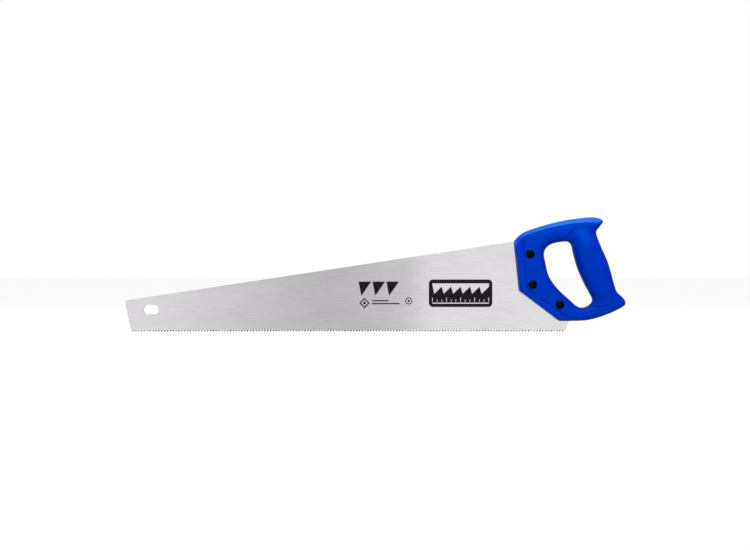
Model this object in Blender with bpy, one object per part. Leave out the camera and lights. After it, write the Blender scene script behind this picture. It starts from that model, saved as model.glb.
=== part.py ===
"""Hand saw with a tapered steel blade, a moulded closed handle and three screws in sleeve nuts.

Drawing frame: X runs along the tooth line from the toe to the heel and on to the handle, Z runs up from the
tooth tips, Y is across the blade, and zero is the tooth tip line at the heel. Every object hangs on one empty,
which puts the origin of the finished saw in the middle of the hand grip.
"""
import math

import bmesh
import bpy
import numpy as np

MM = 0.001


def mm(*values):
    return tuple(value * MM for value in values)


# Blade
BLADE_LENGTH = 550 * MM        # along the tooth tips
BLADE_THICKNESS = 0.9 * MM
TOE_HEIGHT = 39.7 * MM
TOE_LEAN = 8.1 * MM            # how far the toe's top corner stands out past its bottom one
TOE_RADIUS = 2.0 * MM
HEEL_LEAN = math.radians(18)
BACK_COVER = 1.2 * MM          # how much of the handle stands over the blade's back at the front edge
TANG_CORNER = 6.0 * MM         # height above the handle's underside at which the heel edge turns into the tang

# Teeth
TOOTH_PITCH = 25.4 * MM / 7
TOOTH_DEPTH = 2.4 * MM
TOOTH_RAKE = math.radians(15)
TOOTH_SET = 0.25 * MM          # how far each tip is bent out to its side

PANELS = 7                     # lengths that the blade's flat sides are divided into

# Hanging slot near the toe
SLOT_LENGTH = 19.2 * MM
SLOT_WIDTH = 12.4 * MM
SLOT_FROM_TOE = 25.6 * MM
SLOT_HEIGHT = 28.4 * MM

# Handle, all heights measured from the blade's middle plane
CHEEK_HALF = 10.0 * MM         # flat sides of the handle
GRIP_SWELL = 4.5 * MM          # how much thicker each side of the grip is than the flat side
BORDER_DROP = 1.2 * MM         # how far the border along the two straight front edges lies below the flat side
BORDER_WIDTH = 9.8 * MM
BORDER_SLOPE = 0.9 * MM        # width of the slope between the border and the flat side
EDGE_BREAK = 0.8 * MM          # rounding where the border meets the front edges
PARTING_LAND = 0.4 * MM        # narrow flat left at the mould's parting line
FRONT_CORNER_RADIUS = 3.0 * MM

# Fasteners
HEAD_RADIUS = 5.3 * MM
HEAD_RIM = 1.2 * MM            # straight part of a head, below its dome
HEAD_DOME = 1.6 * MM
SEAT_DEPTH = 2.0 * MM          # how deep a head sits below the flat side
BARREL_RADIUS = 3.5 * MM
SHANK_RADIUS = 2.0 * MM
SHANK_SHORT = 4.0 * MM         # how far the barrel and the shank each stop short of the other side's head
RECESS_LENGTH = 5.0 * MM
RECESS_WIDTH = 1.1 * MM
RECESS_DEPTH = 1.3 * MM
COLLAR_WALL = 1.1 * MM         # raised ring round each head
COLLAR_RISE = 0.5 * MM

GAP = 0.3 * MM                 # clearance between pieces that meet
CUT = 20 * MM                  # how far a cutter runs past what it cuts
ROUND_SIDES = 24

# Corners of the handle's front, in the drawing frame
TOP_CORNER = mm(-64.9, 115.8)
FRONT_CORNER = mm(-58.4, 52.2)
BOTTOM_CORNER = mm(-7.6, 13.9)

# Curved outline from the top corner over the horn, down the back of the grip and along the underside to the
# bottom corner: X, Z and the width over which the edge rounds off
BACK_OUTLINE = (
    mm(-53.0, 126.0, 5.8),
    mm(-28.0, 134.8, 5.8),
    mm(0.0, 141.5, 5.8),
    mm(28.0, 145.1, 5.8),
    mm(41.0, 144.4, 5.6),
    mm(47.4, 140.6, 5.0),
    mm(44.2, 134.3, 5.0),
    mm(38.9, 126.0, 8.0),
    mm(43.6, 111.0, 14.0),
    mm(53.6, 88.0, 20.0),
    mm(61.4, 60.6, 16.0),
    mm(65.0, 51.0, 11.0),
    mm(73.2, 43.0, 7.0),
    mm(75.8, 37.0, 5.0),
    mm(72.4, 31.8, 4.5),
    mm(52.5, 22.1, 4.0),
    mm(30.0, 15.3, 4.0),
    mm(11.0, 13.9, 4.5),
)
TOP_ROUNDING = 5.8 * MM
BOTTOM_ROUNDING = 5.0 * MM

# Hand hole, a closed curve, given in the same way
HAND_HOLE = (
    mm(0.0, 114.5, 9.0),
    mm(-11.0, 113.2, 8.0),
    mm(-21.5, 109.2, 8.0),
    mm(-27.1, 100.5, 8.0),
    mm(-25.4, 88.0, 8.0),
    mm(-20.8, 70.5, 8.0),
    mm(-10.0, 55.0, 7.0),
    mm(6.2, 39.8, 6.0),
    mm(13.0, 33.8, 6.0),
    mm(20.0, 31.0, 5.5),
    mm(28.5, 33.4, 6.0),
    mm(33.8, 39.5, 9.0),
    mm(31.5, 47.0, 14.0),
    mm(24.3, 60.1, 18.0),
    mm(15.3, 80.3, 20.0),
    mm(9.6, 100.0, 16.0),
    mm(7.6, 109.0, 12.0),
    mm(4.5, 113.4, 10.0),
)

# Spokes that tie the outline to the hole: outline point, hole point, swell of the grip (0 to 1), stations to
# the next spoke
SPOKES = (
    (TOP_CORNER, mm(-25.5, 105.0), 0.0, 7),
    (mm(-28.0, 134.8), mm(-12.0, 113.0), 0.0, 5),
    (mm(0.0, 141.5), mm(-1.0, 114.5), 0.0, 5),
    (mm(28.0, 145.1), mm(4.5, 113.4), 0.0, 6),
    (mm(47.4, 140.6), mm(7.0, 111.0), 0.1, 6),
    (mm(38.9, 126.0), mm(8.6, 105.0), 0.35, 7),
    (mm(53.6, 88.0), mm(14.0, 84.0), 1.0, 7),
    (mm(65.0, 51.0), mm(29.5, 50.0), 0.75, 5),
    (mm(75.8, 37.0), mm(33.8, 39.5), 0.2, 7),
    (mm(52.5, 22.1), mm(27.0, 32.8), 0.0, 6),
    (mm(11.0, 13.9), mm(15.0, 32.6), 0.0, 4),
    (BOTTOM_CORNER, mm(6.0, 40.0), 0.0, 8),
    (FRONT_CORNER, mm(-20.8, 70.5), 0.0, 9),
)
SAMPLES = 12                   # points on a curve between two of its own
ROUNDING_ROWS = (0.0, 0.08, 0.3, 0.62, 1.0)     # rows of faces over a rounding, as shares of its width

# Tang, the part of the blade held inside the handle, from the heel edge up to the blade's back
TANG_OUTLINE = (mm(8.5, 27.0), mm(2.8, 36.2), mm(-13.4, 51.4), mm(-29.5, 69.0), mm(-35.5, 92.0))
TANG_TOP_X = -35.0 * MM
TANG_ROOM = 0.6 * MM           # clearance between the tang and the end of its slot

# Screw centres, top to bottom
SCREW_CENTRES = (mm(-46.1, 98.4), mm(-42.9, 59.9), mm(-8.4, 34.8))

# Middle of the grip, where the finished saw has its origin
GRIP_CENTRE = mm(35.2, 82.0)


def smooth_run(points, closed=False):
    """A curve through the points: Catmull-Rom, so every value that a point carries changes smoothly."""
    points = np.array(points, float)
    count = len(points)
    if closed:
        ring = np.vstack([points[-1], points, points[0], points[1]])
        spans = count
    else:
        ring = np.vstack([2 * points[0] - points[1], points, 2 * points[-1] - points[-2]])
        spans = count - 1
    rows = []
    for span in range(spans):
        before, start, end, after = ring[span:span + 4]
        for step in range(SAMPLES):
            t = step / SAMPLES
            rows.append(0.5 * (2 * start + (end - before) * t
                               + (2 * before - 5 * start + 4 * end - after) * t ** 2
                               + (3 * start - before - 3 * end + after) * t ** 3))
    if not closed:
        rows.append(points[-1])
    return np.array(rows)


def distance_to(points, line):
    """Distance from each point to a polyline, and the rounding that the line carries at the nearest place."""
    best = np.full(len(points), np.inf)
    rounding = np.zeros(len(points))
    for start, end in zip(line[:-1], line[1:]):
        step = end[:2] - start[:2]
        length = max(step @ step, 1e-18)
        t = np.clip((points - start[:2]) @ step / length, 0, 1)
        away = np.linalg.norm(points - start[:2] - t[:, None] * step, axis=1)
        nearer = away < best
        best = np.where(nearer, away, best)
        rounding = np.where(nearer, start[2] + t * (end[2] - start[2]), rounding)
    return best, rounding


def front_line():
    """The two straight front edges with their rounded corner, from the bottom corner to the top one."""
    corner = np.array(FRONT_CORNER)
    to_bottom = np.array(BOTTOM_CORNER) - corner
    to_top = np.array(TOP_CORNER) - corner
    to_bottom = to_bottom / np.linalg.norm(to_bottom)
    to_top = to_top / np.linalg.norm(to_top)
    half = math.acos(float(to_bottom @ to_top)) / 2
    middle = (to_bottom + to_top) / np.linalg.norm(to_bottom + to_top)
    centre = corner + middle * FRONT_CORNER_RADIUS / math.sin(half)
    sweep = math.pi / 2 - half
    rows = [np.array(BOTTOM_CORNER)]
    for share in (-1, -0.5, 0, 0.5, 1):
        turn = sweep * share
        across = to_bottom - middle * (to_bottom @ middle)
        across = across / np.linalg.norm(across)
        rows.append(centre + FRONT_CORNER_RADIUS * (-middle * math.cos(turn) - across * math.sin(turn)))
    rows.append(np.array(TOP_CORNER))
    return np.array([(*row, 0.0) for row in rows])


def back_line():
    """The curved outline from the top corner round to the bottom corner."""
    return smooth_run([(*TOP_CORNER, TOP_ROUNDING), *BACK_OUTLINE, (*BOTTOM_CORNER, BOTTOM_ROUNDING)])


def hole_line():
    run = smooth_run(HAND_HOLE, closed=True)
    return np.vstack([run, run[:1]])


def run_lengths(line):
    steps = np.linalg.norm(np.diff(line[:, :2], axis=0), axis=1)
    return np.concatenate([[0.0], np.cumsum(steps)])


def place_on(line, lengths, at):
    """Points of a closed line at the lengths asked for, which may run past its end."""
    at = np.mod(at, lengths[-1])
    return np.stack([np.interp(at, lengths, line[:, axis]) for axis in (0, 1)], axis=1)


def nearest_length(line, lengths, point):
    return lengths[np.argmin(np.linalg.norm(line[:, :2] - np.array(point), axis=1))]


def stations():
    """Outline point, hole point and grip swell of each station round the handle."""
    outer = np.vstack([back_line(), front_line()[1:]])
    outer[-1] = outer[0]
    inner = hole_line()
    outer_lengths, inner_lengths = run_lengths(outer), run_lengths(inner)
    at_outer, at_inner, swell = [], [], []
    keys = []
    for outline_point, hole_point, grip, count in SPOKES:
        keys.append((nearest_length(outer, outer_lengths, outline_point),
                     nearest_length(inner, inner_lengths, hole_point), grip, count))
    for index, (outer_at, inner_at, grip, count) in enumerate(keys):
        next_outer, next_inner, next_grip, _ = keys[(index + 1) % len(keys)]
        outer_step = np.mod(next_outer - outer_at, outer_lengths[-1])
        # the hole's curve runs the other way round from the outline
        inner_step = np.mod(inner_at - next_inner, inner_lengths[-1])
        for step in range(count):
            share = step / count
            at_outer.append(outer_at + outer_step * share)
            at_inner.append(inner_at - inner_step * share)
            swell.append(grip + (next_grip - grip) * (1 - math.cos(math.pi * share)) / 2)
    return (place_on(outer, outer_lengths, np.array(at_outer)),
            place_on(inner, inner_lengths, np.array(at_inner)), np.array(swell))


def rounded_edge(away, width, full, land=PARTING_LAND, power=2.0):
    """Half thickness at a distance from an edge that rounds off over a width."""
    share = np.clip(away / width, 0, 1)
    return land + (full - land) * (1 - (1 - share) ** power) ** (1 / power)


def front_border(away, full):
    """Half thickness near the straight front edges: a flat border, one slope, then the flat side."""
    border = CHEEK_HALF - BORDER_DROP
    broken = rounded_edge(away, EDGE_BREAK, border, land=border - EDGE_BREAK)
    slope = np.clip((away - BORDER_WIDTH) / BORDER_SLOPE, 0, 1)
    return broken + (full - border) * slope


def half_thickness(points, swell):
    full = CHEEK_HALF + GRIP_SWELL * swell
    from_front, _ = distance_to(points, front_line())
    from_back, back_width = distance_to(points, back_line())
    from_hole, hole_width = distance_to(points, hole_line())
    front = front_border(from_front, full)
    return np.minimum.reduce([
        front,
        rounded_edge(from_back, back_width, full),
        rounded_edge(from_hole, hole_width, full),
        full,
    ])


def new_object(name, bm, material):
    bmesh.ops.recalc_face_normals(bm, faces=bm.faces)
    mesh = bpy.data.meshes.new(name)
    bm.to_mesh(mesh)
    bm.free()
    made = bpy.data.objects.new(name, mesh)
    bpy.context.scene.collection.objects.link(made)
    if material:
        mesh.materials.append(material)
        mesh.shade_smooth()
        mesh.set_sharp_from_angle(angle=math.radians(30))
    else:
        made.hide_render = True
        made.display_type = 'WIRE'
    return made


def cut(target, cutter, operation='DIFFERENCE'):
    boolean = target.modifiers.new(cutter.name, 'BOOLEAN')
    boolean.operation = operation
    boolean.object = cutter


def plate(outline, low, high):
    """A flat prism: the outline in X and Z, from one Y to the other."""
    bm = bmesh.new()
    face = bm.faces.new([bm.verts.new((x, low, z)) for x, z in outline])
    raised = bmesh.ops.extrude_face_region(bm, geom=[face])['geom']
    moved = [item for item in raised if isinstance(item, bmesh.types.BMVert)]
    bmesh.ops.translate(bm, verts=moved, vec=(0, high - low, 0))
    return bm


def split(bm, place, normal):
    """Divide the faces along a plane, so that the long sides aren't made of slivers."""
    bmesh.ops.bisect_plane(bm, geom=bm.verts[:] + bm.edges[:] + bm.faces[:], dist=1e-7,
                           plane_co=place, plane_no=normal)


def turned(profile, centres=((0, 0),)):
    """Solids of revolution about Y, one at each centre: the profile is (radius, y) from axis to axis."""
    bm = bmesh.new()
    for x, z in centres:
        verts = [bm.verts.new((x + radius, y, z)) for radius, y in profile]
        edges = [bm.edges.new(pair) for pair in zip(verts[:-1], verts[1:])]
        bmesh.ops.spin(bm, geom=verts + edges, axis=(0, 1, 0), cent=(x, 0, z), angle=math.tau,
                       steps=ROUND_SIDES, use_merge=True, use_duplicate=False)
    bmesh.ops.remove_doubles(bm, verts=bm.verts, dist=1e-6)
    return bm


def material(name, colour, roughness, metallic=0.0):
    made = bpy.data.materials.new(name)
    made.use_nodes = True
    shader = made.node_tree.nodes['Principled BSDF']
    shader.inputs['Base Color'].default_value = (*colour, 1)
    shader.inputs['Roughness'].default_value = roughness
    shader.inputs['Metallic'].default_value = metallic
    return made


def back_height(x):
    """Height of the blade's back, a straight line from the toe's top corner to just below the handle's."""
    toe_x = -BLADE_LENGTH - TOE_LEAN
    slope = (TOP_CORNER[1] - BACK_COVER - TOE_HEIGHT) / (TOP_CORNER[0] - toe_x)
    return TOE_HEIGHT + (x - toe_x) * slope


def first_gullet(count):
    """Where the first tooth starts, with the row of teeth centred on the blade's length."""
    return -(BLADE_LENGTH + count * TOOTH_PITCH) / 2


def tooth_line(count):
    """Gullets and tips from the toe to the heel."""
    rows = []
    for tooth in range(count):
        gullet_x = first_gullet(count) + tooth * TOOTH_PITCH
        rows.append((gullet_x, TOOTH_DEPTH))
        rows.append((gullet_x + TOOTH_DEPTH * math.tan(TOOTH_RAKE), 0.0))
    rows.append((first_gullet(count) + count * TOOTH_PITCH, TOOTH_DEPTH))
    return rows


def tang_line():
    """The edges of the blade inside the handle, from the heel edge up to the blade's back."""
    heel_top = BOTTOM_CORNER[1] + TANG_CORNER
    return [(heel_top * math.tan(HEEL_LEAN), heel_top), *TANG_OUTLINE, (TANG_TOP_X, back_height(TANG_TOP_X))]


def toe_corner():
    """The rounded corner between the blade's back and its toe."""
    corner = np.array((-BLADE_LENGTH - TOE_LEAN, TOE_HEIGHT))
    along_back = np.array((0.0, back_height(0.0))) - corner
    along_toe = np.array((-BLADE_LENGTH, 0.0)) - corner
    along_back = along_back / np.linalg.norm(along_back)
    along_toe = along_toe / np.linalg.norm(along_toe)
    return [tuple(corner + TOE_RADIUS * share)
            for share in (along_back, 0.27 * along_back + 0.27 * along_toe, along_toe)]


def slot_outline():
    centre_x = -BLADE_LENGTH + SLOT_FROM_TOE
    radius = SLOT_WIDTH / 2
    straight = SLOT_LENGTH / 2 - radius
    rows = []
    for end, start_angle in ((1, -math.pi / 2), (-1, math.pi / 2)):
        for step in range(ROUND_SIDES // 2 + 1):
            angle = start_angle + math.pi * step / (ROUND_SIDES // 2)
            rows.append((centre_x + end * straight + radius * math.cos(angle),
                         SLOT_HEIGHT + radius * math.sin(angle)))
    return rows


def make_blade(steel):
    count = int(BLADE_LENGTH // TOOTH_PITCH)
    heel_x = TOOTH_DEPTH * math.tan(HEEL_LEAN)
    toe_x = -BLADE_LENGTH - TOE_LEAN * TOOTH_DEPTH / TOE_HEIGHT
    outline = [(toe_x, TOOTH_DEPTH), *tooth_line(count)]
    outline += [(heel_x, TOOTH_DEPTH), *tang_line(), *toe_corner()]
    bm = plate(outline, -BLADE_THICKNESS / 2, BLADE_THICKNESS / 2)
    for vert in bm.verts:
        if vert.co.z < TOOTH_DEPTH / 2:
            tooth = int((vert.co.x - first_gullet(count)) // TOOTH_PITCH)
            vert.co.y += TOOTH_SET if tooth % 2 else -TOOTH_SET
    split(bm, (0, 0, 2 * TOOTH_DEPTH), (0, 0, 1))
    for panel in range(1, PANELS):
        split(bm, (-BLADE_LENGTH * panel / PANELS, 0, 0), (1, 0, 0))
    blade = new_object('blade', bm, steel)
    cut(blade, new_object('slot_cutter', plate(slot_outline(), -CUT, CUT), None))
    radius = BARREL_RADIUS + GAP
    holes = turned([(0, -CUT), (radius, -CUT), (radius, CUT), (0, CUT)], SCREW_CENTRES)
    cut(blade, new_object('blade_hole_cutter', holes, None))
    return blade


def row_shares(outer, inner):
    """Where the rows of faces cross each station, as shares of its length, placed on the edges' own features."""
    length = np.linalg.norm(inner - outer, axis=1)
    direction = (inner - outer) / length[:, None]
    from_front, _ = distance_to(outer, front_line())
    on_front = from_front < PARTING_LAND
    # a station that crosses the border aslant meets its far side later
    probe, _ = distance_to(outer + direction * BORDER_WIDTH, front_line())
    aslant = BORDER_WIDTH / np.maximum(probe, BORDER_WIDTH / 2)
    front_rows = np.array([0.0, EDGE_BREAK / 3, EDGE_BREAK, BORDER_WIDTH, BORDER_WIDTH + BORDER_SLOPE])
    _, back_width = distance_to(outer, back_line())
    _, hole_width = distance_to(inner, hole_line())
    rounding = np.array(ROUNDING_ROWS)
    out_rows = np.where(on_front[:, None], aslant[:, None] * front_rows, back_width[:, None] * rounding)
    in_rows = length[:, None] - hole_width[:, None] * rounding[::-1]
    middle = (out_rows[:, -1:] + in_rows[:, :1]) / 2
    rows = np.hstack([out_rows, middle, in_rows]) / length[:, None]
    return np.maximum.accumulate(rows, axis=1)


def handle_skin():
    """One side of the handle pulled ring by ring from the outline to the hole, then mirrored across the blade."""
    outer, inner, swell = stations()
    count = len(outer)
    bm = bmesh.new()
    station = bm.verts.layers.int.new('station')
    ring = [bm.verts.new((x, 0, z)) for x, z in outer]
    for index, vert in enumerate(ring):
        vert[station] = index
    edges = [bm.edges.new((ring[index], ring[(index + 1) % count])) for index in range(count)]
    rows = []
    for share in row_shares(outer, inner).T:
        points = outer + (inner - outer) * share[:, None]
        rows.append((points, half_thickness(points, swell)))
    rows.append((inner, np.zeros(count)))
    for points, height in rows:
        pulled = bmesh.ops.extrude_edge_only(bm, edges=edges)['geom']
        fresh = {item for item in pulled if isinstance(item, bmesh.types.BMVert)}
        edges = [item for item in pulled
                 if isinstance(item, bmesh.types.BMEdge) and fresh.issuperset(item.verts)]
        for vert in fresh:
            index = vert[station]
            vert.co = (points[index][0], -height[index], points[index][1])
    bmesh.ops.mirror(bm, geom=bm.verts[:] + bm.edges[:] + bm.faces[:], axis='Y', merge_dist=1e-6)
    bmesh.ops.remove_doubles(bm, verts=bm.verts, dist=1e-6)
    return bm


def pocket_outline():
    """The handle's slot for the blade, which runs out through the front edges and the underside."""
    pocket = [(x + TANG_ROOM, z + GAP) for x, z in tang_line()]
    heel_x, heel_z = pocket[0]
    front_x = TOP_CORNER[0] - CUT
    return [(heel_x - (heel_z + CUT) * math.tan(HEEL_LEAN), -CUT), *pocket,
            (front_x, back_height(front_x) + GAP), (front_x, -CUT)]


def make_handle(plastic):
    handle = new_object('handle', handle_skin(), plastic)
    seat = HEAD_RADIUS + GAP
    barrel = BARREL_RADIUS + GAP
    collar = seat + COLLAR_WALL
    reach = CHEEK_HALF + COLLAR_RISE
    floor = CHEEK_HALF - SEAT_DEPTH
    collars = turned([(0, -reach), (collar, -reach), (collar, reach), (0, reach)], SCREW_CENTRES)
    cut(handle, new_object('collars', collars, None), 'UNION')
    half_slot = BLADE_THICKNESS / 2 + GAP
    cut(handle, new_object('blade_slot_cutter', plate(pocket_outline(), -half_slot, half_slot), None))
    bores = turned([(0, -CUT), (seat, -CUT), (seat, -floor), (barrel, -floor),
                    (barrel, floor), (seat, floor), (seat, CUT), (0, CUT)], SCREW_CENTRES)
    cut(handle, new_object('bore_cutter', bores, None))
    return handle


def head_profile(seat_y):
    """The outside of a domed head from its seat to the middle of its dome, with Y growing outwards."""
    rows = [(HEAD_RADIUS, seat_y), (HEAD_RADIUS, seat_y + HEAD_RIM)]
    steps = 5
    for step in range(1, steps + 1):
        angle = math.pi / 2 * step / steps
        rows.append((HEAD_RADIUS * math.cos(angle) if step < steps else 0.0,
                     seat_y + HEAD_RIM + HEAD_DOME * math.sin(angle)))
    return rows


def make_screw(name, x, z, steel):
    seat_y = CHEEK_HALF - SEAT_DEPTH + GAP
    tip_y = -(CHEEK_HALF - SEAT_DEPTH - SHANK_SHORT)
    profile = [(0, tip_y), (SHANK_RADIUS, tip_y), (SHANK_RADIUS, seat_y), *head_profile(seat_y)]
    screw = new_object(name, turned([(radius, -y) for radius, y in profile]), steel)
    screw.location = (x, 0, z)
    top = seat_y + HEAD_RIM + HEAD_DOME
    for arm, (width, height) in enumerate(((RECESS_LENGTH, RECESS_WIDTH), (RECESS_WIDTH, RECESS_LENGTH))):
        corners = [(-width / 2, -height / 2), (width / 2, -height / 2),
                   (width / 2, height / 2), (-width / 2, height / 2)]
        cutter = new_object(f'{name}_recess_cutter_{arm}', plate(corners, -top - CUT, -top + RECESS_DEPTH), None)
        cutter.location = (x, 0, z)
        cut(screw, cutter)
    return screw


def make_sleeve_nut(name, x, z, steel):
    seat_y = CHEEK_HALF - SEAT_DEPTH + GAP
    mouth_y = -(CHEEK_HALF - SEAT_DEPTH - SHANK_SHORT)
    bore = SHANK_RADIUS + GAP
    profile = [(0, seat_y - GAP), (bore, seat_y - GAP), (bore, mouth_y), (BARREL_RADIUS, mouth_y),
               (BARREL_RADIUS, seat_y), *head_profile(seat_y)]
    nut = new_object(name, turned(profile), steel)
    nut.location = (x, 0, z)
    return nut


def main():
    for leftover in list(bpy.data.objects):
        bpy.data.objects.remove(leftover)
    steel = material('brushed spring steel', (0.62, 0.61, 0.62), 0.35, 1.0)
    plastic = material('blue polypropylene', (0.0, 0.035, 0.52), 0.45)
    black = material('blackened steel', (0.012, 0.012, 0.014), 0.3, 0.6)
    make_blade(steel)
    make_handle(plastic)
    for place, (x, z) in zip(('upper', 'middle', 'lower'), SCREW_CENTRES):
        make_screw(f'{place}_screw', x, z, black)
        make_sleeve_nut(f'{place}_sleeve_nut', x, z, black)
    origin = bpy.data.objects.new('grip_centre', None)
    bpy.context.scene.collection.objects.link(origin)
    origin.location = (-GRIP_CENTRE[0], 0, -GRIP_CENTRE[1])
    for made in bpy.data.objects:
        if made is not origin:
            made.parent = origin


main()
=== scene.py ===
"""Looks of the hand saw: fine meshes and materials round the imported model, a white floor and a camera.

The drawing frame has zero at the heel end of the tooth line: X runs to the handle, Z up from the tooth tips
and Y across the blade. Lengths in it are in millimetres, and place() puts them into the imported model's frame.
"""
import math

import bmesh
import bpy
import numpy as np
from mathutils import Matrix, Vector


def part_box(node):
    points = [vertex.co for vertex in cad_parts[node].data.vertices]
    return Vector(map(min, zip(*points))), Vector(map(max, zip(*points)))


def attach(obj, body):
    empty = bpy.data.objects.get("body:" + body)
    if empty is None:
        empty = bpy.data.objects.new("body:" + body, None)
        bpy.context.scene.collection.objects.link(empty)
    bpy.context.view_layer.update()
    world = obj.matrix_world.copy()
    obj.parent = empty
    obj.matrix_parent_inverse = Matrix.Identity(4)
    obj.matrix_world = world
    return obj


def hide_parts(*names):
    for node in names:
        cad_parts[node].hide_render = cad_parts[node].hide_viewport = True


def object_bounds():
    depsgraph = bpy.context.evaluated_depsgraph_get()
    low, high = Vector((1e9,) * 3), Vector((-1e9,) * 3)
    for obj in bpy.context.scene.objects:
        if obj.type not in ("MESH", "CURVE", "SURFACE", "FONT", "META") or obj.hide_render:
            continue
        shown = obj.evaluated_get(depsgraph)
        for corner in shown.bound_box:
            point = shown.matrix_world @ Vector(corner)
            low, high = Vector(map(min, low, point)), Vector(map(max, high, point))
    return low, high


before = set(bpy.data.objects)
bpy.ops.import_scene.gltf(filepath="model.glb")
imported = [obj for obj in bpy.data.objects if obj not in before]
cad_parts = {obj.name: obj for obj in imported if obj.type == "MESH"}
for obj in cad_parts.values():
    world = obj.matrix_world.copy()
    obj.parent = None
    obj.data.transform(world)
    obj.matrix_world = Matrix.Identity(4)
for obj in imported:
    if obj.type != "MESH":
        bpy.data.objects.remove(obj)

cad_box = [[float(value) for value in corner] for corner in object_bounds()]
scene = bpy.context.scene
scene.view_settings.view_transform = "Standard"
scene.cycles.denoising_prefilter = "FAST"       # the slower one smears the teeth into a grey line

# ---------------------------------------------------------------------------------------------------------
# Blade
# A tapered plate of hard spring steel, stamped out, brushed along its length and clear lacquered. Its teeth
# are ground on both flanks, bent to alternate sides, and hardened by induction, which leaves them dark.
# ---------------------------------------------------------------------------------------------------------
MM = 0.001
BLADE_LENGTH = 550.0
BLADE_HALF = 0.45
TOE_HEIGHT = 39.7
TOE_LEAN = 8.1
TOE_CORNER = 2.2
BACK_MEETS_HANDLE = (-64.9, 114.6)
HEEL_SLOPE = math.tan(math.radians(18))
TANG = ((6.4, 19.9), (8.5, 27.0), (2.8, 36.2), (-13.4, 51.4), (-29.5, 69.0), (-35.5, 92.0))
TANG_TOP_X = -35.0
EDGE_ROUND = 0.14

PITCH = 25.4 / 7
TOOTH_DEPTH = 2.4
TOOTH_RAKE = math.tan(math.radians(15))
TOOTH_SET = 0.25
TOOTH_BEVEL = 0.5              # how far the ground flank slopes across the blade's thickness
GULLET_FLAT = 0.3

SLOT_CENTRE = (-524.4, 28.4)
SLOT_STRAIGHT = 6.8
SLOT_RADIUS = 6.2
SLOT_CHAMFER = 0.2

UPPER_SCREW_X = -46.1
upper_low, upper_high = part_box("upper_screw")
HEEL_X = (upper_low[0] + upper_high[0]) / 2 - UPPER_SCREW_X * MM
TIPS_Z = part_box("blade")[0][2]


def place(x, y, z):
    """A point of the drawing, in millimetres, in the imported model's frame."""
    return (HEEL_X + x * MM, y * MM, TIPS_Z + z * MM)


def plate(outline, low, high):
    """A flat prism between two Y values, pulled from one face."""
    bm = bmesh.new()
    face = bm.faces.new([bm.verts.new(place(x, low, z)) for x, z in outline])
    pulled = bmesh.ops.extrude_face_region(bm, geom=[face])["geom"]
    raised = [item for item in pulled if isinstance(item, bmesh.types.BMVert)]
    bmesh.ops.translate(bm, verts=raised, vec=(0, (high - low) * MM, 0))
    return bm


def finished(name, bm, sharp=32):
    """An object from a bmesh, with its faces turned outwards and shaded smooth up to the sharp angle."""
    bmesh.ops.recalc_face_normals(bm, faces=bm.faces)
    mesh = bpy.data.meshes.new(name)
    bm.to_mesh(mesh)
    bm.free()
    mesh.shade_smooth()
    mesh.set_sharp_from_angle(angle=math.radians(sharp))
    piece = bpy.data.objects.new(name, mesh)
    scene.collection.objects.link(piece)
    return piece


def carve(piece, tool, operation="DIFFERENCE", sharp=32):
    """Cut a tool out of a piece, or join it on, for good."""
    boolean = piece.modifiers.new("carve", "BOOLEAN")
    boolean.operation = operation
    boolean.solver = "MANIFOLD"
    boolean.object = tool
    result = piece.evaluated_get(bpy.context.evaluated_depsgraph_get())
    mesh = bpy.data.meshes.new_from_object(result)
    mesh.materials.clear()
    piece.modifiers.clear()
    piece.data = mesh
    mesh.shade_smooth()
    mesh.set_sharp_from_angle(angle=math.radians(sharp))
    bpy.data.objects.remove(tool)


def arc(centre, radius, start, end, steps):
    """Points on a circle, angles in degrees."""
    angles = np.radians(np.linspace(start, end, steps + 1))
    return [(centre[0] + radius * math.cos(a), centre[1] + radius * math.sin(a)) for a in angles]


def back_height(x):
    toe_x = -BLADE_LENGTH - TOE_LEAN
    slope = (BACK_MEETS_HANDLE[1] - TOE_HEIGHT) / (BACK_MEETS_HANDLE[0] - toe_x)
    return TOE_HEIGHT + (x - toe_x) * slope


def rounded_corner(corner, before, after, radius, steps=4):
    """Points on the fillet of a corner, from the side of the point before it to the side of the one after."""
    corner = np.array(corner)
    one = np.array(before) - corner
    two = np.array(after) - corner
    one = one / np.linalg.norm(one)
    two = two / np.linalg.norm(two)
    half = math.acos(float(one @ two)) / 2
    middle = (one + two) / np.linalg.norm(one + two)
    centre = corner + middle * radius / math.sin(half)
    across = one - middle * (one @ middle)
    across = across / np.linalg.norm(across)
    turns = np.linspace(-1, 1, steps + 1) * (math.pi / 2 - half)
    return [tuple(centre + radius * (-middle * math.cos(t) - across * math.sin(t))) for t in turns]


def tooth_points():
    """Each tooth's three points from its front gullet over the tip to its back gullet, toe to heel."""
    count = int(BLADE_LENGTH // PITCH)
    start = -(BLADE_LENGTH + count * PITCH) / 2
    points = []
    for tooth in range(count):
        x = start + tooth * PITCH
        points.append((x + GULLET_FLAT / 2, TOOTH_DEPTH))
        points.append((x + TOOTH_DEPTH * TOOTH_RAKE, 0.0))
        points.append((x + PITCH - GULLET_FLAT / 2, TOOTH_DEPTH))
    return points


def grind_teeth(bm, toothed):
    """Slope each tooth's flanks towards one side, and bend its tip to the other, turn about."""
    bm.verts.ensure_lookup_table()
    for index, (x, z) in enumerate(toothed):
        tooth, part = divmod(index, 3)
        side = 1 if tooth % 2 else -1
        for vert in (bm.verts[1 + index], bm.verts[1 + index + len(bm.verts) // 2]):
            ground = vert.co.y * side < 0
            if part == 1:
                vert.co.z += TOOTH_BEVEL * MM * ground
                vert.co.y += TOOTH_SET * MM * side
            else:
                vert.co.x += (1 - part) * TOOTH_BEVEL / 2 * MM * ground


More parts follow.
